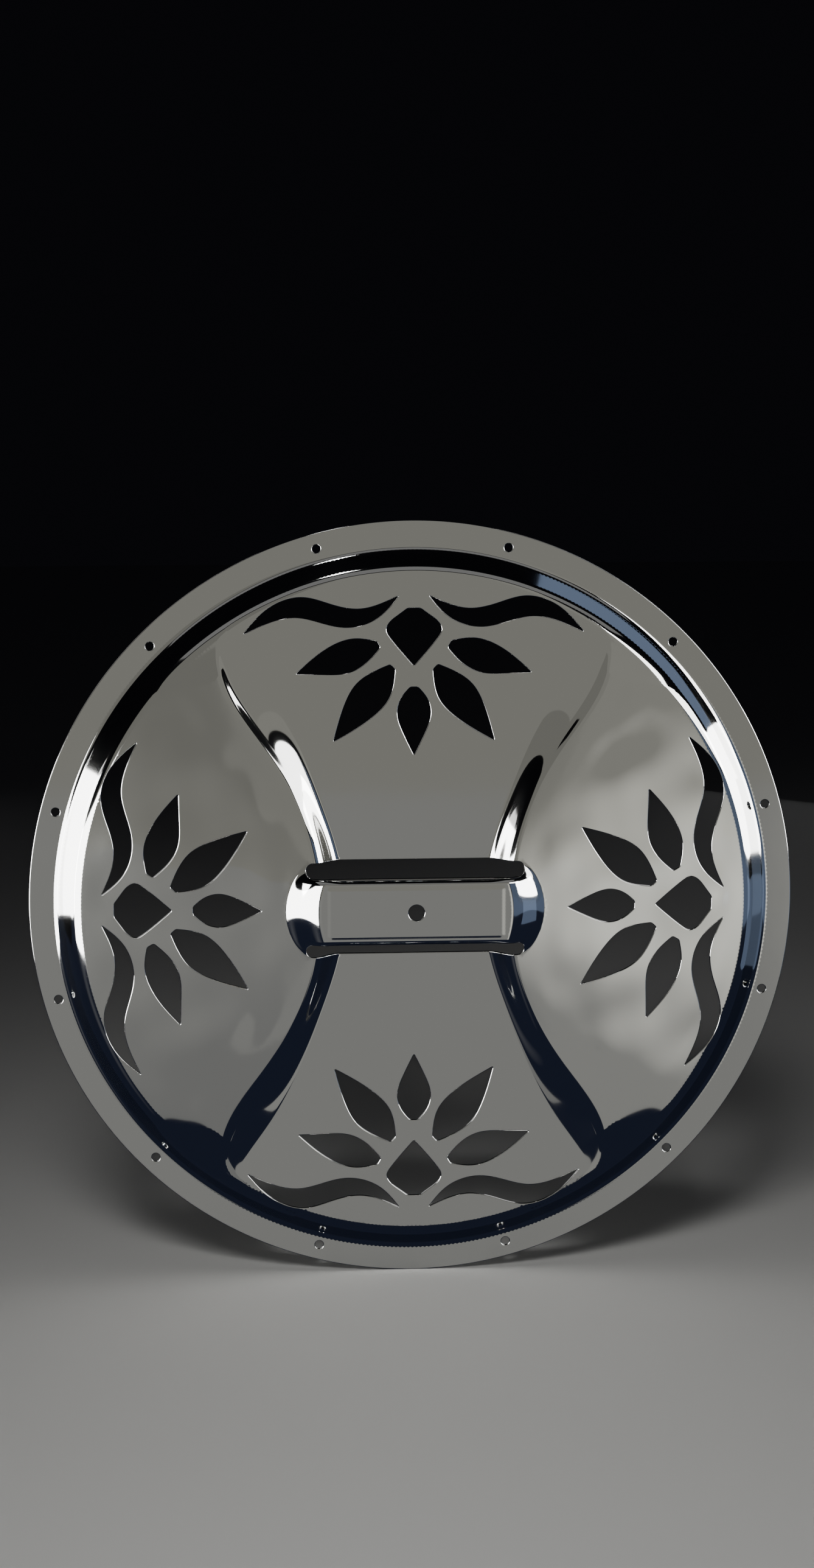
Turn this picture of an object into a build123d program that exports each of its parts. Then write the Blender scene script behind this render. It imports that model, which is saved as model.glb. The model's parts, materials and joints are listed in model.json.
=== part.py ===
from build123d import *
import os

# Cover plate of a spider-bridge resonator guitar: one disc of sheet brass, pressed, pierced and
# chromed. It stands upright: X to the right, Z up, and the front, the side with the hand rest,
# faces -Y. The origin is the centre of the screw circle, on the plane of the flange's back.
# The pressing is modelled lying on its back, with its front up, and is turned upright at the end.

# Blank and flange
sheet = 1.0
plate_diameter = 285.75
screw_circle_diameter = 274.4
screw_count = 12
screw_hole_diameter = 3.2
first_screw_angle = 15.0

# Round wall, from the flange up to the two flat panels
wall_foot_radius = 132.6
wall_top_radius = 125.8
wall_foot_fillet = 2.8
wall_top_fillet = 5.0
panel_height = 8.0

# Side domes: flat cones that rise towards the middle
dome_edge_radius = 123.4
dome_slope = 0.087
cone_rise = dome_slope * dome_edge_radius

# The step from a panel up to a dome, for one quarter: distance from the plate's level centre line,
# half width of the panel there, and how far the step leans outwards for each millimetre of rise
step_stations = [
    (0.0, 27.0, 0.90),
    (19.0, 29.3, 0.90),
    (40.0, 36.4, 1.10),
    (61.0, 44.9, 1.80),
    (80.0, 57.5, 2.60),
    (97.0, 67.5, 3.20),
    (112.0, 72.5, 3.40),
]
step_below = 2.0
step_above = 14.0
step_crest_fillet = 4.5

# Hand rest: a bar with rounded ends, raised over the middle
rest_height = 21.5
rest_top_half_length = 34.3
rest_top_half_width = 13.6
rest_shoulder_half_length = 41.0
rest_foot_half_length = 48.0
rest_foot_half_width = 17.7
rest_end_foot_height = 13.0
rest_side_foot_height = 10.0
rest_edge_fillet = 2.0
rest_hole_diameter = 6.0

# The slot on each side of the hand rest
slot_length = 81.0
slot_inner = 12.4
slot_outer = 17.7

# The pierced pattern, the same at the top, at the bottom and on both sides: eight cutouts, two of
# them on the group's centre line. Outlines are (sideways, outwards) from the plate's centre.
pattern_count = 4
lozenge_tip = (0.0, 90.1)
lozenge_inner_side = (5.3, 96.0)
lozenge_corner = (10.1, 103.3)
lozenge_outer_side = (6.3, 108.4)
lozenge_end = (2.4, 111.3)
bud_tip = (0.0, 56.9)
bud_side = [(4.1, 65.2), (6.2, 73.0), (4.6, 78.2)]
bud_end = (1.4, 82.1)
petal_tip = (29.6, 62.2)
petal_outer_side = [(25.6, 75.8), (21.4, 83.2), (15.0, 87.8)]
petal_end = (8.8, 90.5)
petal_end_corner = (7.0, 88.6)
petal_inner_side = [(9.2, 78.0), (15.4, 71.1)]
sepal_tip = (43.3, 87.2)
sepal_inner_side = [(33.5, 87.0), (23.8, 87.7), (17.2, 91.6)]
sepal_end_corner = (12.5, 96.8)
sepal_end = (13.9, 99.2)
sepal_outer_side = [(22.4, 100.1), (31.5, 96.9)]
leaf_outer_tip = (62.4, 102.3)
leaf_outer_side = [(53.4, 111.6), (41.0, 115.5), (30.0, 112.7), (20.3, 111.1)]
leaf_inner_tip = (5.9, 115.8)
leaf_inner_side = [(12.9, 108.1), (26.0, 104.4), (43.0, 108.1)]
cutout_corner_fillet = 0.4
lozenge_corner_fillet = 2.0

cutter_height = 60.0


def front_section(points):
    """A closed outline in (distance from the centre, height), standing on the plate's level line."""
    return Plane.XZ * make_face(Polyline(*points, close=True))


def ring_profile(back):
    """Half section of what lies behind the front face, or behind the back face."""
    run = wall_foot_radius - wall_top_radius
    lean = (run * run + panel_height * panel_height) ** 0.5
    if back:
        level = 0.0
        foot = wall_foot_radius - sheet * (lean - run) / panel_height
        floor = -sheet
        edge = plate_diameter / 2 + sheet
        foot_fillet = wall_foot_fillet + sheet
        top_fillet = wall_top_fillet - sheet
    else:
        level = sheet
        foot = wall_foot_radius
        floor = 0.0
        edge = plate_diameter / 2
        foot_fillet = wall_foot_fillet
        top_fillet = wall_top_fillet
    wall_foot = (foot, level)
    wall_top = (foot - run, level + panel_height)
    outline = [(0, floor), (edge, floor), (edge, level), wall_foot, wall_top, (0, wall_top[1])]
    section = make_face(Polyline(*outline, close=True))
    for corner, radius in ((wall_foot, foot_fillet), (wall_top, top_fillet)):
        section = fillet(section.vertices().sort_by_distance(corner)[0], radius)
    return Plane.XZ * section


def dish(back):
    """The round pressing without its domes: flange, wall and one flat top."""
    return revolve(ring_profile(back), Axis.Z)


def step_outline(rise, level):
    """One side of the plate outside the step, at a height above the panels."""
    far = plate_diameter
    upper = [(width + lean * rise, distance) for distance, width, lean in step_stations]
    lower = [(width, -distance) for width, distance in reversed(upper[1:])]
    points = lower + upper
    end_width, end_distance = upper[-1]
    # The same parameters at every height keep the step's rulings square to the centre line
    parameters = [(distance + end_distance) / (2 * end_distance) for width, distance in points]
    edge = Edge.make_spline([Vector(*point) for point in points], parameters=parameters)
    rest = Polyline(
        (end_width, end_distance),
        (end_width, far),
        (far, far),
        (far, -far),
        (end_width, -far),
        (end_width, -end_distance),
    )
    return Pos(0, 0, level) * make_face(Wire([edge] + rest.edges()))


def dome(back):
    """One side dome, cut off by its leaning step, with a rounded crest."""
    base = panel_height if back else panel_height + sheet
    cone = revolve(
        front_section(
            [
                (0, base - step_below),
                (dome_edge_radius, base - step_below),
                (dome_edge_radius, base),
                (0, base + cone_rise),
            ]
        ),
        Axis.Z,
    )
    low = step_outline(-step_below, base - step_below)
    high = step_outline(step_above, base + step_above)
    body = cone & loft([low, high], ruled=True)
    curves = body.edges().filter_by(GeomType.BSPLINE)
    crest = curves.sort_by(lambda edge: edge.bounding_box().max.Z)[-1]
    return fillet(crest, step_crest_fillet - sheet if back else step_crest_fillet)


def rest_plan(half_width, shoulder, tip):
    """The hand rest seen from the front: a bar with bowed ends."""
    right = ThreePointArc((shoulder, half_width), (tip, 0), (shoulder, -half_width))
    left = ThreePointArc((-shoulder, -half_width), (-tip, 0), (-shoulder, half_width))
    upper = Line((-shoulder, half_width), (shoulder, half_width))
    lower = Line((shoulder, -half_width), (-shoulder, -half_width))
    return make_face(upper + right + lower + left)


def rest_side(top, foot, tip):
    """The hand rest seen along its width: a flat top, and ends that are quarters of an ellipse."""
    flat = Pos(0, top / 2) * Rectangle(2 * rest_top_half_length, top)
    ends = Rectangle(2 * tip, foot, align=(Align.CENTER, Align.MIN))
    for side in (-1, 1):
        centre = Pos(side * rest_top_half_length, foot)
        ends += centre * Ellipse(tip - rest_top_half_length, top - foot)
    return Plane.XZ * (flat + ends)


def rest_end(top, foot, half_width, top_half_width):
    """The hand rest seen along its length: leaning sides and rounded edges."""
    outline = [
        (-half_width, 0),
        (-half_width, foot),
        (-top_half_width, top),
        (top_half_width, top),
        (half_width, foot),
        (half_width, 0),
    ]
    section = make_face(Polyline(*outline, close=True))
    edges = section.vertices().group_by(Axis.Y)[-1]
    return Plane.YZ * fillet(edges, rest_edge_fillet)


def hand_rest(back):
    """The raised bar, as the common part of its plan, its side view and its end view."""
    inset = sheet if back else 0.0
    top = rest_height + sheet - inset
    half_width = rest_foot_half_width - inset
    shoulder = rest_shoulder_half_length - inset
    tip = rest_foot_half_length - inset
    plan = extrude(rest_plan(half_width, shoulder, tip), cutter_height)
    side = rest_side(top, rest_end_foot_height + sheet - inset, tip)
    end = rest_end(
        top, rest_side_foot_height + sheet - inset, half_width, rest_top_half_width - inset
    )
    common = plan & extrude(side, plate_diameter / 2, both=True)
    return common & extrude(end, plate_diameter / 2, both=True)


def pressing(back):
    """The whole pressing: the dish with both domes and the hand rest on it."""
    one_dome = dome(back)
    return dish(back) + one_dome + mirror(one_dome, Plane.YZ) + hand_rest(back)


def mirrored(points):
    """The same points on the other side of the group's centre line, in the other order."""
    return [(-x, y) for x, y in reversed(points)]


def rounded(face):
    """A cutout with its corners slightly rounded, as the punch leaves them."""
    return fillet(face.vertices(), cutout_corner_fillet)


def lozenge():
    """The four-sided cutout near the rim, with bowed sides and a short flat end."""
    x, y = lozenge_corner
    end_x, end_y = lozenge_end
    inner_x, inner_y = lozenge_inner_side
    outer_x, outer_y = lozenge_outer_side
    outline = (
        ThreePointArc(lozenge_tip, (inner_x, inner_y), (x, y))
        + ThreePointArc((x, y), (outer_x, outer_y), (end_x, end_y))
        + Line((end_x, end_y), (-end_x, end_y))
        + ThreePointArc((-end_x, end_y), (-outer_x, outer_y), (-x, y))
        + ThreePointArc((-x, y), (-inner_x, inner_y), lozenge_tip)
    )
    face = make_face(outline)
    for corner in ((x, y), (-x, y)):
        face = fillet(face.vertices().sort_by_distance(corner)[0], lozenge_corner_fillet)
    for corner in (lozenge_tip, (end_x, end_y), (-end_x, end_y)):
        face = fillet(face.vertices().sort_by_distance(corner)[0], cutout_corner_fillet)
    return face


def bud():
    """The slim cutout that points at the middle of the plate."""
    right = [bud_tip] + bud_side + [bud_end]
    left = mirrored(right)
    return rounded(make_face(Spline(*right) + Line(right[-1], left[0]) + Spline(*left)))


def horn(tip, side, end, end_corner, other_side):
    """A cutout with one sharp tip, two curved sides and a short straight end."""
    outline = Spline(tip, *side, end) + Line(end, end_corner) + Spline(end_corner, *other_side, tip)
    return rounded(make_face(outline))


def leaf():
    """The long wavy cutout along the rim."""
    outer = Spline(leaf_outer_tip, *leaf_outer_side, leaf_inner_tip)
    inner = Spline(leaf_inner_tip, *leaf_inner_side, leaf_outer_tip)
    return rounded(make_face(outer + inner))


def pattern():
    """All the pierced cutouts, as one set of upright cutters."""
    petal = horn(petal_tip, petal_outer_side, petal_end, petal_end_corner, petal_inner_side)
    sepal = horn(sepal_tip, sepal_inner_side, sepal_end_corner, sepal_end, sepal_outer_side)
    paired = [petal, sepal, leaf()]
    group = [lozenge(), bud()] + paired + [mirror(face, Plane.YZ) for face in paired]
    cutters = [extrude(face, cutter_height) for face in group]
    turns = [Rot(0, 0, 360 / pattern_count * turn) for turn in range(pattern_count)]
    return [turn * cutter for turn in turns for cutter in cutters]


def slots():
    """The two long slots that free the sides of the hand rest."""
    width = slot_outer - slot_inner
    middle = (slot_outer + slot_inner) / 2
    slot = SlotOverall(slot_length, width)
    return [Pos(0, side * middle, 0) * extrude(slot, cutter_height) for side in (-1, 1)]


def screw_holes():
    """The screw holes in the flange, and the one in the middle of the hand rest."""
    radius = screw_circle_diameter / 2
    places = PolarLocations(radius, screw_count, first_screw_angle)
    hole = Cylinder(screw_hole_diameter / 2, cutter_height)
    return [place * hole for place in places] + [Cylinder(rest_hole_diameter / 2, cutter_height)]


def cover_plate():
    """The finished plate, upright."""
    blank = pressing(False) - pressing(True)
    pierced = blank - (pattern() + slots() + screw_holes())
    return Rot(90, 0, 0) * pierced


plate = cover_plate()
plate.label = "cover_plate"
os.makedirs("parts", exist_ok=True)
export_step(plate, "parts/cover_plate.step")
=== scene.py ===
import json
import math

import bpy
import numpy as np
from mathutils import Euler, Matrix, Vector
from mathutils.geometry import delaunay_2d_cdt


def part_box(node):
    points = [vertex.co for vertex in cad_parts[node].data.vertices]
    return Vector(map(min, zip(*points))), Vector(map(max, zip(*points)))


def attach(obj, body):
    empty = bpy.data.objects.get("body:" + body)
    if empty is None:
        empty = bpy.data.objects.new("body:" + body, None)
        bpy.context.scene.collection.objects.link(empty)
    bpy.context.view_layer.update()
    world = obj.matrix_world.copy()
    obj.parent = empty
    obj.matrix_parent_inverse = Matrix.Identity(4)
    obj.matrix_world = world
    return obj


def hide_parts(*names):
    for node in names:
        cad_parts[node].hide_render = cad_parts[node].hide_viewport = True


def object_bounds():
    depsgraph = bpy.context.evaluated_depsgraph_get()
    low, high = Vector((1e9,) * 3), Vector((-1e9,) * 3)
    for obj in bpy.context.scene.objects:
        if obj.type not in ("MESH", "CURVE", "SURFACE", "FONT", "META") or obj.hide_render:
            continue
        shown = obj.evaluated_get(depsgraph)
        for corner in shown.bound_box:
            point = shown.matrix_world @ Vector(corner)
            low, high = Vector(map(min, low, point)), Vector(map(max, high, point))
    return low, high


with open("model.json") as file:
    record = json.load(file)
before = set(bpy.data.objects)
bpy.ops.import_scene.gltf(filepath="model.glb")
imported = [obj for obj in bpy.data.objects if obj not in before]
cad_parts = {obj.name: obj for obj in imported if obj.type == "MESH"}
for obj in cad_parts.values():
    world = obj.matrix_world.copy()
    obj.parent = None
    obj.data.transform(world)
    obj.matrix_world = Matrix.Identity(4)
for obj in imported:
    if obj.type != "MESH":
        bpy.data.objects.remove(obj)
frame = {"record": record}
cad_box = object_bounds()

# The plate is a height above its flange, as a function of where it is: "across" is along X, "up" is
# along Z, both in millimetres from the middle of the plate, and the height is towards -Y.

MM = 0.001
CAD_LOW, CAD_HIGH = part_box("cover_plate")
SCREW_MOUNT = frame["record"]["mounts"][0]["dims"]
SHEET = 1.0
PLATE_RADIUS = (CAD_HIGH.x - CAD_LOW.x) / 2 / MM
REST_HEIGHT = -CAD_LOW.y / MM - SHEET
SCREW_CIRCLE_RADIUS = SCREW_MOUNT["pcd_mm"] / 2
SCREW_COUNT = SCREW_MOUNT["count"]
SCREW_HOLE_RADIUS = SCREW_MOUNT["hole_r_mm"]
REST_HOLE_RADIUS = 3.0

# Round wall between the flange and the raised middle
WALL_FOOT = 132.6
WALL_TOP = 125.8
PANEL_HEIGHT = 8.0
FOOT_FILLET = 2.8
TOP_FILLET = 5.0

# Side domes. Their corners fall away, from a direction that is given as up / radius.
DOME_EDGE = 131.0
DOME_SLOPE = 0.08
CORNER_FALL = 13.0
CORNER_STEEPNESS = 0.62
CORNER_DIP = 0.8
CORNER_DIP_START = 112.0

# The step that leads up to the domes from the panels above and below the hand rest. Each station
# is a distance above or below the middle, and how far out the step starts and ends.
STEP_STATIONS = [
    (0, 25.5, 36.5),
    (19, 27.8, 37.8),
    (40, 34.4, 44.4),
    (61, 42.0, 56.6),
    (80, 51.6, 69.4),
    (91, 59.6, 72.8),
    (101, 65.0, 71.4),
    (105, 64.0, 68.4),
    (109, 58.6, 63.4),
    (113, 51.0, 56.0),
    (118, 41.0, 45.0),
]
# Near the middle the step is an S-curve. Further out it is an even ramp that ends in a steeper rise.
RAMP_ZONE = (45.0, 85.0)
RAMP_RISE = 0.54
RAMP_BLEND = 0.12
LATE_RISE_START = 0.74

# Waves in the domes: direction in degrees, length, phase and size
WAVES = [
    (20, 47.0, 0.4, 0.060),
    (75, 34.0, 2.1, 0.050),
    (-50, 27.0, 4.4, 0.035),
    (110, 19.0, 1.2, 0.014),
    (5, 15.0, 5.0, 0.009),
]

# Hand rest, with a flat face that is a hair higher than its border
FACE_HALF_LENGTH = 31.0
FACE_HALF_WIDTH = 8.4
FACE_CROWN = 0.12
REST_END_TOP = 34.8
REST_END_FOOT = 48.5
REST_SIDE_TOP = 10.4
REST_SIDE_FOOT = 17.9
SLOT_HALF_LENGTH = 40.5
SLOT_INNER = 12.4
SLOT_OUTER = 17.7


def smoothstep(value):
    value = np.clip(value, 0.0, 1.0)
    return value * value * (3 - 2 * value)


def cubic_spline(places, values, level_start=True):
    """A smooth curve through the values. It can start level, or with no bend."""
    places = np.array(places, float)
    values = np.array(values, float)
    gaps = np.diff(places)
    slopes = np.diff(values) / gaps
    count = len(places)
    matrix = np.eye(count)
    right_side = np.zeros(count)
    if level_start:
        matrix[0, :2] = 2 * gaps[0], gaps[0]
        right_side[0] = 6 * slopes[0]
    for i in range(1, count - 1):
        matrix[i, i - 1 : i + 2] = gaps[i - 1], 2 * (gaps[i - 1] + gaps[i]), gaps[i]
        right_side[i] = 6 * (slopes[i] - slopes[i - 1])
    bends = np.linalg.solve(matrix, right_side)

    def curve(place):
        place = np.clip(place, places[0], places[-1])
        i = np.clip(np.searchsorted(places, place) - 1, 0, count - 2)
        after = place - places[i]
        before = places[i + 1] - place
        gap = gaps[i]
        cubic = (bends[i] * before**3 + bends[i + 1] * after**3) / (6 * gap)
        start = (values[i] / gap - bends[i] * gap / 6) * before
        end = (values[i + 1] / gap - bends[i + 1] * gap / 6) * after
        return cubic + start + end

    return curve


step_foot = cubic_spline([s[0] for s in STEP_STATIONS], [s[1] for s in STEP_STATIONS])
step_crest = cubic_spline([s[0] for s in STEP_STATIONS], [s[2] for s in STEP_STATIONS])


def wall_height(radius):
    """The round wall in section: a straight slope between two fillets."""
    lean = math.atan2(PANEL_HEIGHT, WALL_FOOT - WALL_TOP)
    foot_reach = FOOT_FILLET * math.tan(lean / 2)
    top_reach = TOP_FILLET * math.tan(lean / 2)
    foot_centre = WALL_FOOT + foot_reach
    top_centre = WALL_TOP - top_reach
    slope = (WALL_FOOT - radius) * math.tan(lean)
    foot = FOOT_FILLET - np.sqrt(np.maximum(FOOT_FILLET**2 - (radius - foot_centre) ** 2, 0))
    top_drop = np.sqrt(np.maximum(TOP_FILLET**2 - (radius - top_centre) ** 2, 0))
    top = PANEL_HEIGHT - TOP_FILLET + top_drop
    height = np.where(radius > WALL_FOOT - foot_reach * math.cos(lean), foot, slope)
    height = np.where(radius < WALL_TOP + top_reach * math.cos(lean), top, height)
    height = np.where(radius < top_centre, PANEL_HEIGHT, height)
    return np.where(radius > foot_centre, 0.0, height)


def dome_rise(radius, up):
    """How far a dome stands above the panels: a flat cone that falls away in its corners."""
    steepness = up / np.maximum(radius, 1.0)
    start = WALL_TOP - CORNER_FALL * smoothstep((steepness - CORNER_STEEPNESS) / 0.14)
    drop = np.clip((radius - start) / (WALL_TOP + 1.0 - start), 0.0, 1.0)
    drop = 1.12 * drop * drop / (drop + 0.12) * smoothstep((steepness - 0.60) / 0.08)
    return DOME_SLOPE * (DOME_EDGE - np.minimum(radius, DOME_EDGE)) * (1 - drop)


def corner_dip(radius, up):
    """How far the lower corners between the domes and the wall lie below that cone."""
    steepness = -up / np.maximum(radius, 1.0)
    near_wall = smoothstep((radius - CORNER_DIP_START) / 15)
    return CORNER_DIP * near_wall * smoothstep((steepness - CORNER_STEEPNESS) / 0.12)


def ramp(share, blend):
    """From 0 to 1 at an even slope, with rounded ends that are the blend long."""
    near_end = np.minimum(share, 1 - share)
    curved = near_end**2 / (2 * blend * (1 - blend))
    low = np.where(near_end < blend, curved, (near_end - blend / 2) / (1 - blend))
    return np.where(share < 0.5, low, 1 - low)


def unevenness(across, up):
    """The slight waves that pressing leaves in the domes."""
    waves = np.zeros_like(across)
    for turn, length, shift, size in WAVES:
        along = across * math.cos(math.radians(turn)) + up * math.sin(math.radians(turn))
        waves += size * np.sin(2 * math.pi * along / length + shift)
    return waves


def surface_height(across, up):
    """Height of the front face above the flange's front face."""
    waves = unevenness(across, up)
    radius = np.hypot(across, up)
    dip = corner_dip(radius, up)
    across, up = np.abs(across), np.abs(up)
    foot, crest = step_foot(up), step_crest(up)
    share = np.clip((across - foot) / (crest - foot), 0.0, 1.0)
    ramp_start, ramp_end = RAMP_ZONE
    outer = smoothstep((up - ramp_start) / (ramp_end - ramp_start))
    late_rise = smoothstep((share - LATE_RISE_START) / (1 - LATE_RISE_START))
    late_climb = RAMP_RISE * ramp(share, RAMP_BLEND) + (1 - RAMP_RISE) * late_rise
    climb = (1 - outer) * smoothstep(share) + outer * late_climb
    rise = climb * (dome_rise(radius, up) - dip)
    calm = smoothstep((across - crest - 5) / 16) * smoothstep((WALL_TOP - 2 - radius) / 10)
    height = wall_height(radius) * (1 + rise / PANEL_HEIGHT) + waves * climb * calm
    end_top = REST_END_TOP - 1.5 * (up / 11) ** 2
    end_foot = REST_END_FOOT - 7 * (up / SLOT_OUTER) ** 2
    end = smoothstep((across - end_top) / (end_foot - end_top))
    side = smoothstep((up - REST_SIDE_TOP) / (REST_SIDE_FOOT - REST_SIDE_TOP))
    face_end = smoothstep((across - FACE_HALF_LENGTH) / 2.5)
    face_side = smoothstep((up - FACE_HALF_WIDTH) / 1.8)
    rest = REST_HEIGHT - FACE_CROWN * (1 - (1 - face_end) * (1 - face_side))
    return height + (rest - height) * (1 - end) * (1 - side)


# --- Outlines --------------------------------------------------------------------------------------

EDGE_SPACING = 0.8
CORNER_CUT = 0.7


def smooth_run(points, spacing=EDGE_SPACING, cut=CORNER_CUT):
    """Points along a curve through the given ones, stopping short of both ends by the cut."""
    points = np.array(points, float)
    lengths = np.hypot(*np.diff(points, axis=0).T)
    places = np.concatenate([[0.0], np.cumsum(lengths)])
    curve_x = cubic_spline(places, points[:, 0], level_start=False)
    curve_y = cubic_spline(places, points[:, 1], level_start=False)
    cut = min(cut, places[-1] * 0.4)
    count = max(2, int((places[-1] - 2 * cut) / spacing) + 1)
    samples = np.linspace(cut, places[-1] - cut, count)
    return np.column_stack([curve_x(samples), curve_y(samples)])


def closed_outline(runs):
    """One loop from runs that meet at corners, each corner rounded."""
    pieces = []
    for i, run in enumerate(runs):
        start = smooth_run(run)
        following = smooth_run(runs[(i + 1) % len(runs)])
        corner = np.array(run[-1], float)
        turn = np.linspace(0, 1, 7)[1:-1, None]
        before, after = start[-1], following[0]
        bend = (1 - turn) ** 2 * before + 2 * turn * (1 - turn) * corner + turn**2 * after
        pieces += [start, bend]
    return np.concatenate(pieces)


def mirrored(points):
    return [(-x, y) for x, y in reversed(points)]


def lozenge():
    side = [(0.0, 90.0), (5.2, 96.0), (9.0, 100.8), (10.2, 103.3)]
    side += [(9.4, 105.6), (6.2, 108.5), (2.4, 111.3)]
    other = mirrored(side)
    return closed_outline([side, [side[-1], other[0]], other])


def bud():
    side = [(0.0, 56.7), (4.1, 65.2), (6.2, 73.0), (4.6, 78.2), (1.4, 82.1)]
    other = mirrored(side)
    return closed_outline([side, [side[-1], other[0]], other])


def petal():
    tip, end, corner = (29.8, 62.0), (8.8, 90.5), (7.0, 88.6)
    outer = [tip, (25.6, 75.8), (21.4, 83.2), (15.0, 87.8), end]
    inner = [corner, (9.2, 78.0), (15.4, 71.1), tip]
    return closed_outline([outer, [end, corner], inner])


def sepal():
    tip, corner, end = (43.5, 87.2), (12.5, 96.8), (13.9, 99.2)
    inner = [tip, (33.5, 87.0), (23.8, 87.7), (17.2, 91.6), corner]
    outer = [end, (22.4, 100.1), (31.5, 96.9), tip]
    return closed_outline([inner, [corner, end], outer])


def leaf():
    outer_tip, inner_tip = (62.7, 102.1), (5.6, 116.0)
    outer = [outer_tip, (53.4, 111.6), (41.0, 115.5), (30.0, 112.7), (20.3, 111.1), inner_tip]
    inner = [inner_tip, (12.9, 108.1), (26.0, 104.4), (43.0, 108.1), outer_tip]
    return closed_outline([outer, inner])


def circle(centre, radius, count):
    angles = np.linspace(0, 2 * math.pi, count, endpoint=False)
    return np.array(centre) + radius * np.column_stack([np.cos(angles), np.sin(angles)])


def slot(side):
    """A long slot with half-round ends, above (+1) or below (-1) the hand rest."""
    radius = (SLOT_OUTER - SLOT_INNER) / 2
    middle = side * (SLOT_OUTER + SLOT_INNER) / 2
    reach = SLOT_HALF_LENGTH - radius
    turn = np.linspace(-math.pi / 2, math.pi / 2, 15)
    end = np.column_stack([reach + radius * np.cos(turn), middle + radius * np.sin(turn)])
    straight = np.linspace(reach, -reach, int(2 * reach / EDGE_SPACING))[1:-1]
    top = np.column_stack([straight, np.full_like(straight, middle + radius)])
    other_end = np.column_stack([-end[:, 0], 2 * middle - end[:, 1]])
    bottom = np.column_stack([-straight, np.full_like(straight, middle - radius)])
    return np.concatenate([end, top, other_end, bottom])


def turned(points, quarter_turns):
    angle = quarter_turns * math.pi / 2
    spin = np.array([[math.cos(angle), math.sin(angle)], [-math.sin(angle), math.cos(angle)]])
    return points @ spin


def signed_area(loop):
    x, y = loop.T
    return 0.5 * np.sum(x * np.roll(y, -1) - np.roll(x, -1) * y)


def counter_clockwise(loop):
    return loop if signed_area(loop) > 0 else loop[::-1]


def all_cutouts():
    paired = [petal(), sepal(), leaf()]
    group = [lozenge(), bud()] + paired + [outline * (-1, 1) for outline in paired]
    loops = [turned(outline, turn) for turn in range(4) for outline in group]
    loops += [slot(1), slot(-1), circle((0, 0), REST_HOLE_RADIUS, 48)]
    step = 360 / SCREW_COUNT
    for i in range(SCREW_COUNT):
        angle = math.radians(step * (i + 0.5))
        centre = (SCREW_CIRCLE_RADIUS * math.cos(angle), SCREW_CIRCLE_RADIUS * math.sin(angle))
        loops.append(circle(centre, SCREW_HOLE_RADIUS, 32))
    return [counter_clockwise(loop) for loop in loops]


# --- Mesh ------------------------------------------------------------------------------------------

EDGE_ROUND = 0.28
ROWS_END = 101.0


def slopes(across, up, reach=0.01):
    """How fast the height grows along X and along Z."""
    along_x = surface_height(across + reach, up) - surface_height(across - reach, up)
    along_z = surface_height(across, up + reach) - surface_height(across, up - reach)
    return along_x / (2 * reach), along_z / (2 * reach)


def front_normals(across, up):
    along_x, along_z = slopes(across, up)
    normal = np.column_stack([-along_x, -np.ones_like(along_x), -along_z])
    return normal / np.linalg.norm(normal, axis=1)[:, None]


def front_depth(across, up):
    return -(SHEET + surface_height(across, up))


def back_depth(across, up):
    """The back face: one sheet thickness behind the front, measured square to a gentle slope."""
    along_x, along_z = slopes(across, up, 0.8)
    lean = np.sqrt(1 + along_x**2 + along_z**2)
    return front_depth(across, up) + SHEET * np.minimum(lean, 1.6)


def ring_points(radius, count, phase=0.0):
    angles = (np.arange(count) + phase) * 2 * math.pi / count
    return np.column_stack([radius * np.cos(angles), radius * np.sin(angles)])


def grid_points(half_x, half_y, spacing):
    """A triangular grid over a rectangle about the middle."""
    row_gap = spacing * math.sqrt(3) / 2
    rows = int(half_y / row_gap)
    columns = int(half_x / spacing)
    points = []
    for row in range(-rows, rows + 1):
        shift = 0.5 * spacing * (row % 2)
        xs = np.arange(-columns, columns + 1) * spacing + shift
        points.append(np.column_stack([xs, np.full_like(xs, row * row_gap)]))
    return np.concatenate(points)


def inside_step(points, margin):
    across, up = np.abs(points).T
    in_step = (across > step_foot(up) - margin) & (across < step_crest(up) + margin)
    in_corner = (up > 70) & (up > 0.58 * across) & (across > 40) & (up + across > 150)
    return in_step | in_corner


def inside_rest(points, margin):
    across, up = np.abs(points).T
    return (across < REST_END_FOOT + margin) & (up < REST_SIDE_FOOT + margin)


def step_share(points):
    """How far a point is across the step: 0 at the foot, 1 at the crest."""
    across, up = np.abs(points).T
    return (across - step_foot(up)) / (step_crest(up) - step_foot(up))


def step_rows(fineness):
    """Rows of points that follow the straighter run of each step."""
    columns = int(21 / fineness)
    spacing = 0.9 * fineness
    up, column = np.meshgrid(np.arange(16, ROWS_END, spacing), np.arange(columns))
    up = up + 0.5 * spacing * (column % 2)
    share = -0.05 + 1.1 * column / (columns - 1)
    across = step_foot(up) + share * (step_crest(up) - step_foot(up))
    quarter = np.column_stack([across.ravel(), up.ravel()])
    return np.concatenate([quarter * (x, z) for x in (-1, 1) for z in (-1, 1)])


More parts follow.
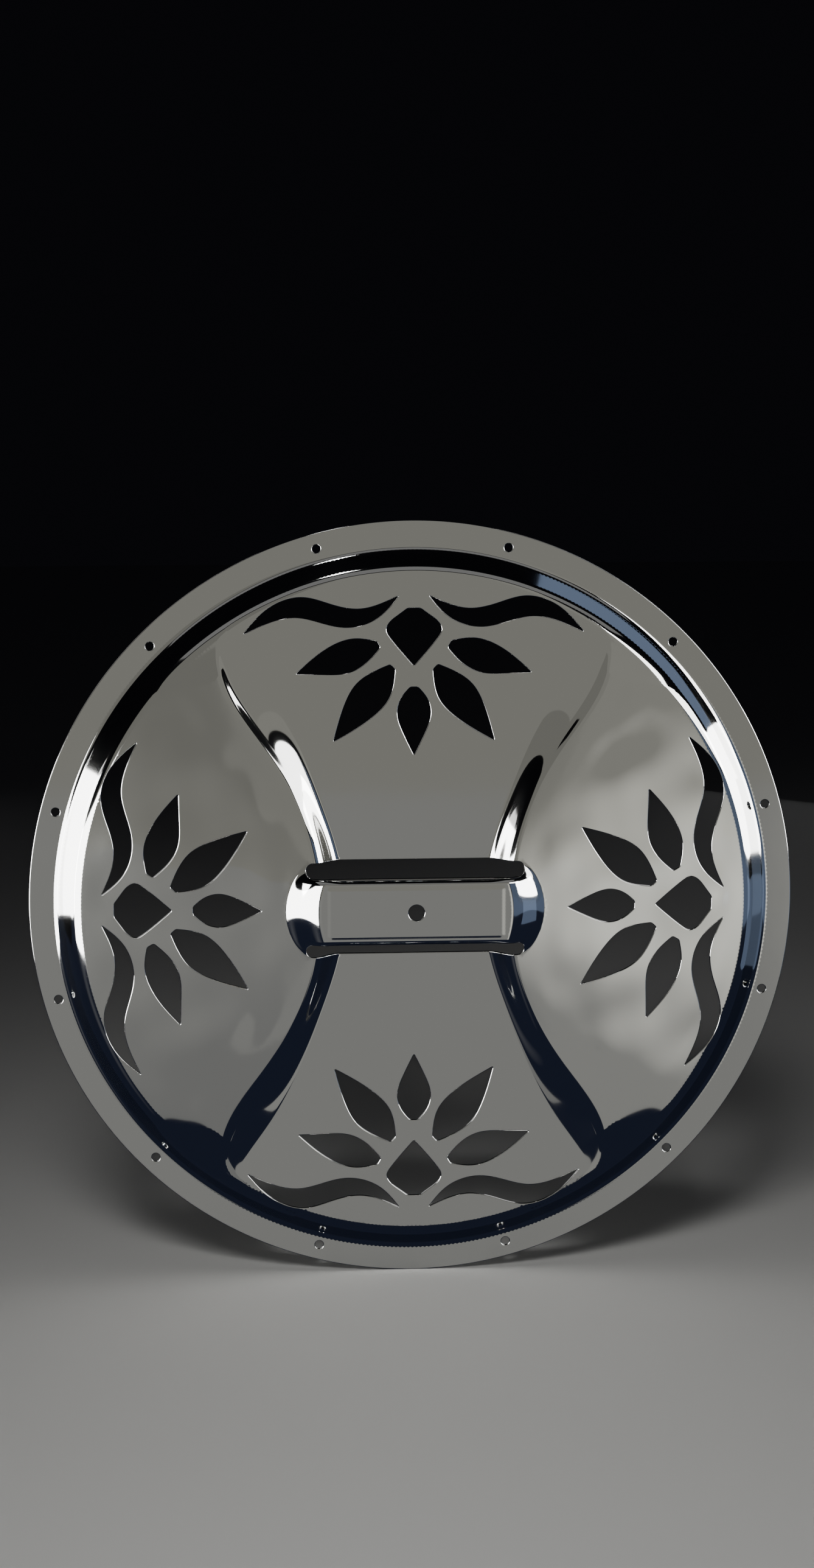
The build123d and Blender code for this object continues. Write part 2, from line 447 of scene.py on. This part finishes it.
def scattered_points(fineness):
    """Places for the mesh's inner corners, closer where the pressing bends."""
    radius_in = WALL_TOP - 3.0
    plain = grid_points(125, 125, 1.7 * fineness)
    bend = grid_points(112, 120, 0.9 * fineness)
    rest = grid_points(52, 20, 0.8 * fineness)
    plain_radius = np.hypot(*plain.T)
    keep = (plain_radius < radius_in) & ~inside_step(plain, 0) & ~inside_rest(plain, 0.5)
    in_bend = inside_step(bend, 0.5) & ~inside_rest(bend, 0.5) & (np.hypot(*bend.T) < radius_in)
    rows = step_rows(fineness)
    in_rows = ~inside_rest(rows, 0.5) & (np.hypot(*rows.T) < radius_in)
    sets = [rows[in_rows]]
    for grid in (plain[keep], bend[in_bend]):
        covered = (np.abs(step_share(grid) - 0.5) < 0.58) & (np.abs(grid[:, 1]) < ROWS_END)
        sets.append(grid[~covered])
    sets.append(rest[inside_rest(rest, 0)])
    wall_rows = np.arange(WALL_TOP - 2.6, WALL_FOOT + 2.2, 0.4 * fineness)
    around = int(540 / fineness)
    for i, radius in enumerate(wall_rows):
        sets.append(ring_points(radius, around, 0.5 * (i % 2)))
    for i, radius in enumerate(np.arange(WALL_FOOT + 2.9, PLATE_RADIUS - 0.8, 1.9 * fineness)):
        sets.append(ring_points(radius, int(380 / fineness), 0.5 * (i % 2)))
    return np.concatenate(sets)


def inside_loop(points, loop):
    """Which points lie inside a closed outline."""
    low, high = loop.min(0), loop.max(0)
    near = np.all((points > low) & (points < high), axis=1)
    result = np.zeros(len(points), bool)
    if not near.any():
        return result
    x, y = points[near].T
    ax, ay = loop.T
    bx, by = np.roll(loop, -1, axis=0).T
    crosses = (ay[None] > y[:, None]) != (by[None] > y[:, None])
    gap = np.where(np.abs(by - ay) < 1e-12, 1e-12, by - ay)
    meets = ax + (y[:, None] - ay) / gap * (bx - ax)
    result[near] = np.sum(crosses & (x[:, None] < meets), axis=1) % 2 == 1
    return result


def clear_of_loops(points, loops, distance):
    """Leaves out the points that lie in a cutout, or too close to any edge."""
    keep = np.hypot(*points.T) < PLATE_RADIUS - EDGE_ROUND - distance
    for loop in loops:
        low, high = loop.min(0) - distance, loop.max(0) + distance
        near = np.flatnonzero(keep & np.all((points > low) & (points < high), axis=1))
        if not len(near):
            continue
        gaps = points[near][:, None] - loop[None]
        close = np.min(np.sum(gaps**2, axis=2), axis=1) < distance**2
        keep[near[close | inside_loop(points[near], loop)]] = False
    return points[keep]


def triangulate(loops, rim, inner):
    """Triangles over the disc inside the rim and outside the loops. Corners are numbered: the
    loops' points in order, then the rim's, then the inner ones."""
    outlines = loops + [rim]
    corners = np.concatenate(outlines + [inner])
    edges = []
    start = 0
    owner = np.full(len(corners), -1)
    for number, outline in enumerate(outlines):
        count = len(outline)
        owner[start : start + count] = number
        edges += [(start + i, start + (i + 1) % count) for i in range(count)]
        start += count
    result = delaunay_2d_cdt([Vector(c) for c in corners], edges, [], 0, 1e-7)
    if len(result[0]) != len(corners):
        raise ValueError("two outlines cross or touch")
    triangles = np.array([face for face in result[2]])
    number = np.array([origins[0] for origins in result[3]])
    triangles = number[triangles]
    keep = np.ones(len(triangles), bool)
    owners = owner[triangles]
    same = (owners[:, 0] >= 0) & (owners[:, 0] == owners[:, 1]) & (owners[:, 1] == owners[:, 2])
    middles = corners[triangles].mean(axis=1)
    for index in range(len(loops)):
        mine = np.flatnonzero(same & (owners[:, 0] == index))
        keep[mine[inside_loop(middles[mine], loops[index])]] = False
    triangles = triangles[keep]
    a, b, c = (corners[triangles[:, i]] for i in range(3))
    turn = (b[:, 0] - a[:, 0]) * (c[:, 1] - a[:, 1]) - (b[:, 1] - a[:, 1]) * (c[:, 0] - a[:, 0])
    triangles[turn < 0] = triangles[turn < 0][:, ::-1]
    return corners, triangles


def towards_opening(loop):
    """The direction in the sheet's plane, at each point, that points out of the sheet."""
    ahead = np.roll(loop, -1, axis=0) - np.roll(loop, 1, axis=0)
    ahead /= np.linalg.norm(ahead, axis=1)[:, None]
    return np.column_stack([-ahead[:, 1], ahead[:, 0]])


def solid_points(flat, depth):
    return np.column_stack([flat[:, 0], depth, flat[:, 1]])


class SheetMesh:
    """Collects the corners, faces and corner normals of the plate."""

    def __init__(self):
        self.points = []
        self.faces = []
        self.normals = []
        self.slots = []
        self.count = 0

    def add_points(self, points):
        first = self.count
        self.points.append(points)
        self.count += len(points)
        return first

    def add_faces(self, faces, normals, material):
        """Faces as rows of corner numbers, with a normal for each corner of each face."""
        self.faces.append(faces)
        self.normals.append(normals)
        self.slots.append(np.full(len(faces), material))

    def make(self, name):
        points = np.concatenate(self.points) * MM
        faces = [tuple(face) for group in self.faces for face in group.tolist()]
        normals = np.concatenate([group.reshape(-1, 3) for group in self.normals])
        mesh = bpy.data.meshes.new(name)
        mesh.from_pydata(points.tolist(), [], faces)
        mesh.polygons.foreach_set("material_index", np.concatenate(self.slots))
        mesh.polygons.foreach_set("use_smooth", np.ones(len(faces), bool))
        mesh.normals_split_custom_set(normals.tolist())
        mesh.validate(clean_customdata=False)
        piece = bpy.data.objects.new(name, mesh)
        bpy.context.scene.collection.objects.link(piece)
        return piece


POLISHED, UNPOLISHED = 0, 1


def plate_mesh():
    sheet = SheetMesh()
    edges = all_cutouts()
    rim = ring_points(PLATE_RADIUS, 720)[::-1]
    outlines = edges + [rim]
    outward = [towards_opening(outline) for outline in outlines]
    inset = [outline - EDGE_ROUND * way for outline, way in zip(outlines, outward)]

    inner = clear_of_loops(scattered_points(1.0), inset[:-1], 0.55)
    corners, triangles = triangulate(inset[:-1], inset[-1], inner)
    front_first = sheet.add_points(solid_points(corners, front_depth(*corners.T)))
    normals = front_normals(*corners.T)
    sheet.add_faces(triangles + front_first, normals[triangles], POLISHED)

    inner = clear_of_loops(scattered_points(1.7), edges, 0.8)
    corners, triangles = triangulate(edges, rim, inner)
    back_first = sheet.add_points(solid_points(corners, back_depth(*corners.T)))
    back_normals = -front_normals(*corners.T)
    triangles = triangles[:, ::-1]
    sheet.add_faces(triangles + back_first, back_normals[triangles], UNPOLISHED)

    start = 0
    for outline, way in zip(outlines, outward):
        count = len(outline)
        here = np.arange(count)
        after = (here + 1) % count
        surface = front_normals(*outline.T)
        out = np.column_stack([way[:, 0], np.zeros(count), way[:, 1]])
        rows = [(here + front_first + start, surface)]
        for angle in (math.pi / 4, math.pi / 2):
            flat = outline - EDGE_ROUND * (1 - math.sin(angle)) * way
            depth = front_depth(*flat.T) + EDGE_ROUND * (1 - math.cos(angle))
            first = sheet.add_points(solid_points(flat, depth))
            normal = surface * math.cos(angle) + out * math.sin(angle)
            rows.append((here + first, normal / np.linalg.norm(normal, axis=1)[:, None]))
        rows.append((here + back_first + start, out))
        for (near, near_normal), (far, far_normal) in zip(rows, rows[1:]):
            faces = np.column_stack([near, near[after], far[after], far])
            corner_normals = np.stack(
                [near_normal, near_normal[after], far_normal[after], far_normal], axis=1
            )
            sheet.add_faces(faces, corner_normals, POLISHED)
        start += count
    return sheet.make("pressed_plate")


# --- Materials -------------------------------------------------------------------------------------


def new_material(name):
    material = bpy.data.materials.new(name)
    material.use_nodes = True
    nodes = material.node_tree.nodes
    return material, nodes, material.node_tree.links, nodes["Principled BSDF"]


def chrome(name, colour, smooth, dull, bump):
    """Plated metal: roughness that drifts between two values, and a faint unevenness."""
    material, nodes, links, shader = new_material(name)
    shader.inputs["Base Color"].default_value = (*colour, 1.0)
    shader.inputs["Metallic"].default_value = 1.0
    place = nodes.new("ShaderNodeTexCoord")
    cloud = nodes.new("ShaderNodeTexNoise")
    cloud.inputs["Scale"].default_value = 22.0
    cloud.inputs["Detail"].default_value = 6.0
    links.new(place.outputs["Object"], cloud.inputs["Vector"])
    spread = nodes.new("ShaderNodeMapRange")
    spread.inputs["From Min"].default_value = 0.35
    spread.inputs["From Max"].default_value = 0.7
    spread.inputs["To Min"].default_value = smooth
    spread.inputs["To Max"].default_value = dull
    links.new(cloud.outputs["Fac"], spread.inputs["Value"])
    links.new(spread.outputs["Result"], shader.inputs["Roughness"])
    grain = nodes.new("ShaderNodeTexNoise")
    grain.inputs["Scale"].default_value = 60.0
    grain.inputs["Detail"].default_value = 3.0
    links.new(place.outputs["Object"], grain.inputs["Vector"])
    raised = nodes.new("ShaderNodeBump")
    raised.inputs["Strength"].default_value = 1.0
    raised.inputs["Distance"].default_value = bump
    links.new(grain.outputs["Fac"], raised.inputs["Height"])
    links.new(raised.outputs["Normal"], shader.inputs["Normal"])
    return material


def floor_material():
    material, _, _, shader = new_material("pale_floor")
    shader.inputs["Base Color"].default_value = (0.72, 0.715, 0.69, 1.0)
    shader.inputs["Roughness"].default_value = 0.9
    shader.inputs["Specular IOR Level"].default_value = 0.1
    return material


plate = plate_mesh()
plate.data.materials.append(chrome("polished_chrome", (0.60, 0.60, 0.585), 0.035, 0.075, 0.00001))
plate.data.materials.append(chrome("unpolished_plating", (0.42, 0.42, 0.405), 0.28, 0.42, 0.00003))
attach(plate, "root")
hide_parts("cover_plate")


# --- Stage, lights and camera ----------------------------------------------------------------------


FLOOR_EXTENT = (-3.4, 2.6, 2.6)


def add_floor():
    low = cad_box[0]
    mesh = bpy.data.meshes.new("floor")
    near, far, side = FLOOR_EXTENT
    corners = [(x, y, low[2]) for x, y in ((-side, near), (side, near), (side, far), (-side, far))]
    mesh.from_pydata(corners, [], [(0, 1, 2, 3)])
    mesh.materials.append(floor_material())
    floor = bpy.data.objects.new("floor", mesh)
    # In the photo the plate reflects a dark cloth below it, so the pale floor isn't reflected
    floor.visible_glossy = False
    bpy.context.scene.collection.objects.link(floor)


def softbox(name, place, target, size, radiance, colour, spread=180.0, lights="plate"):
    """A rectangular light at a place, facing a target, that the camera doesn't see. The radiance
    is the one straight ahead, and a spread under 180 degrees is a grid over the box."""
    light = bpy.data.lights.new(name, "AREA")
    light.shape = "RECTANGLE"
    light.size, light.size_y = size
    light.energy = radiance * math.pi * size[0] * size[1]
    if spread < 180:
        half = math.radians(spread / 2)
        light.energy *= (math.tan(half) - half) / math.tan(half)
    light.color = colour
    light.spread = math.radians(spread)
    lamp = bpy.data.objects.new(name, light)
    lamp.location = place
    lamp.rotation_euler = (Vector(target) - Vector(place)).to_track_quat("-Z", "Y").to_euler()
    lamp.visible_camera = False
    lamp.visible_diffuse = lights != "plate"
    lamp.visible_glossy = lights != "floor"
    bpy.context.scene.collection.objects.link(lamp)


def upright_box(name, azimuth, distance, sides, heights, radiance, colour):
    """An upright softbox square to a direction from the plate. Azimuth 0 is in front, 90 right."""
    turn = math.radians(azimuth)
    middle, level = sum(sides) / 2, sum(heights) / 2
    place = (
        distance * math.sin(turn) + middle * math.cos(turn),
        -distance * math.cos(turn) + middle * math.sin(turn),
        level,
    )
    target = (place[0] - math.sin(turn), place[1] + math.cos(turn), level)
    softbox(name, place, target, (sides[1] - sides[0], heights[1] - heights[0]), radiance, colour)


# Softboxes and pale cards round the plate. The front cards stop low down, where a dim blue card
# takes over, and that edge makes the dark bands along the lower steps.
WHITE = (1.0, 1.0, 1.0)
WARM = (1.0, 0.99, 0.90)
COOL = (0.50, 0.66, 1.0)
NAVY = (0.35, 0.48, 1.0)
upright_box("left_front_box", -50, 0.47, (-0.20, 0.20), (-0.13, 0.05), 12.0, WHITE)
upright_box("left_side_box", -90, 0.55, (-0.15, 0.20), (-0.10, 0.16), 12.0, WHITE)
upright_box("left_strip", -50, 0.47, (-0.39, -0.26), (0.07, 0.19), 2.0, WHITE)
upright_box("right_front_box", 50, 0.60, (-0.22, 0.30), (0.12, 0.32), 7.0, WHITE)
upright_box("right_side_box", 90, 0.70, (-0.38, 0.26), (-0.03, 0.26), 12.0, WHITE)
upright_box("right_upper_box", 90, 0.70, (0.06, 0.45), (0.26, 1.30), 0.36, COOL)
upright_box("right_fill", 50, 0.62, (-0.22, 0.40), (-0.14, 0.10), 0.22, COOL)
upright_box("right_low_fill", 90, 0.40, (-0.15, 0.20), (-0.14, -0.03), 0.22, COOL)
upright_box("front_card", 0, 2.2, (-0.27, 0.57), (-0.855, 1.5), 0.285, WARM)
upright_box("left_card", 0, 2.2, (-0.80, -0.27), (-0.855, 1.5), 0.22, WARM)
upright_box("left_low_card", 0, 2.2, (-0.80, -0.16), (-1.10, -0.855), 0.22, WARM)
upright_box("right_card", 0, 2.2, (0.57, 1.0), (-0.855, 1.5), 0.32, WARM)
upright_box("right_low_card", 0, 2.2, (0.47, 1.0), (-1.12, -0.855), 0.32, WARM)
upright_box("far_left_card", 0, 2.2, (-1.9, -0.80), (-0.1, 1.5), 0.22, WARM)
upright_box("back_right_box", 140, 1.0, (-0.5, 0.5), (-0.14, 0.6), 0.8, WHITE)
upright_box("back_left_box", 220, 1.0, (-0.5, 0.5), (-0.14, 0.6), 0.5, WHITE)
softbox("top_lamp", (-0.20, -0.12, 1.0), (-0.03, 0, 0.13), (0.12, 0.10), 12.0, WHITE)
softbox("right_grid", (0.01, -0.11, 0.0), (-0.317, 0.836, 0.195), (0.38, 0.34), 0.9, WARM, spread=18)
softbox("left_grid", (-0.01, -0.10, 0.0), (0.198, 0.878, 0.2), (0.36, 0.34), 0.12, WARM, spread=20)
softbox("low_left_grid", (-0.12, -0.13, -0.05), (0.52, 0.51, 0.39), (0.45, 0.4), 0.08, WHITE, spread=34)
softbox("low_card", (0, -1.0, -0.35), (0, -1.0, 0), (5.0, 2.6), 0.03, NAVY)
softbox("overhead_softbox", (0, -0.85, 1.1), (0, -0.85, 0), (2.4, 0.9), 0.24, WHITE)
softbox("floor_fill", (0, -0.85, 1.1), (0, -0.85, 0), (2.4, 0.9), 0.06, WHITE, lights="floor")
softbox("floor_key", (-0.25, -1.25, 0.9), (0.0, -0.33, -0.143), (0.4, 0.4), 30, WHITE, 44, "floor")
for side in (-1, 1):
    place = (side * 1.2, 0.2, 1.2)
    softbox("side_floor_grid", place, (place[0], place[1], 0), (0.6, 1.6), 9.0, WHITE, 52, "floor")

world = bpy.data.worlds.new("studio")
bpy.context.scene.world = world
world.use_nodes = True
world.node_tree.nodes["Background"].inputs["Color"].default_value = (0.003, 0.003, 0.004, 1.0)

add_floor()

camera_data = bpy.data.cameras.new("camera")
camera_data.lens = 79.2
camera = bpy.data.objects.new("camera", camera_data)
camera.location = (-0.0897, -1.2637, 0.2578)
camera.rotation_euler = Euler((math.radians(90 - 9.56), math.radians(0.0), math.radians(-3.97)))
bpy.context.scene.collection.objects.link(camera)
bpy.context.scene.camera = camera
